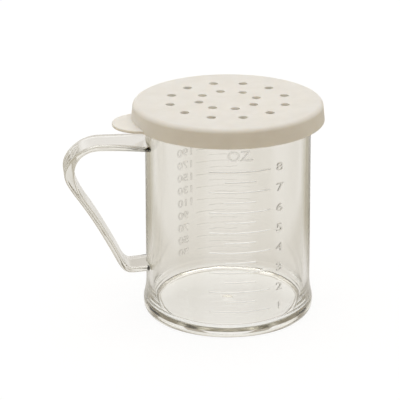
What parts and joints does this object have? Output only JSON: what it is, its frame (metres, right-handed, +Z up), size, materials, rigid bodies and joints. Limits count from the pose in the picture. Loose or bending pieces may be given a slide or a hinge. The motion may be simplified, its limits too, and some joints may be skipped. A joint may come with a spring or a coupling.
{
  "type": "spice shaker",
  "caption": "Clear straight-sided shaker cup with a strap handle, raised measuring marks, and a press-on lid with shaking holes and a thumb tab.",
  "frame": {"origin": "middle of the footprint box, on the plane that the foot ring stands on; the cup's own axis is 14.375 mm from it towards +X", "axes": "+Z up along the cup's axis; the handle points along -X, the fluid ounce scale faces -Y and the millilitre scale faces +Y"},
  "size_m": [0.1092, 0.0804, 0.0917],
  "materials": {
    "clear_polycarbonate": "clear moulded polycarbonate, glossy",
    "lid_polypropylene": "off-white moulded polypropylene, satin"
  },
  "bodies": {
    "cup": {"cup": "clear_polycarbonate", "handle": "clear_polycarbonate"},
    "lid": {"lid": "lid_polypropylene"}
  },
  "joints": [
    {"name": "lid_lift", "type": "slide", "parent": "cup", "child": "lid", "axis": [0, 0, 1], "range_m": [0, 0.03]}
  ]
}
